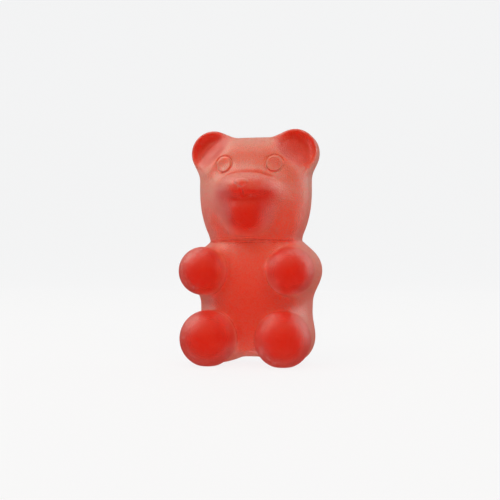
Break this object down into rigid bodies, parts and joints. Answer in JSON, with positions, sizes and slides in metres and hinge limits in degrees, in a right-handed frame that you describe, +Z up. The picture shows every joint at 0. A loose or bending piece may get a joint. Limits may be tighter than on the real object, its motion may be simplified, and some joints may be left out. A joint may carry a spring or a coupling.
{
  "type": "gummy bear",
  "caption": "Bear-shaped fruit jelly sweet with a flat back, rounded hands and feet, a muzzle and dished ears; stands on its feet.",
  "frame": {"origin": "centre of the bounding box's bottom, on the surface the bear stands on", "axes": "+Z up from feet to ears, -Y the way the face looks, +Y its flat back, X across the bear"},
  "size_m": [0.0124, 0.0088, 0.0218],
  "materials": {
    "jelly": "frosted translucent red jelly"
  },
  "bodies": {
    "root": {"gummy_bear": "jelly"}
  },
  "joints": []
}
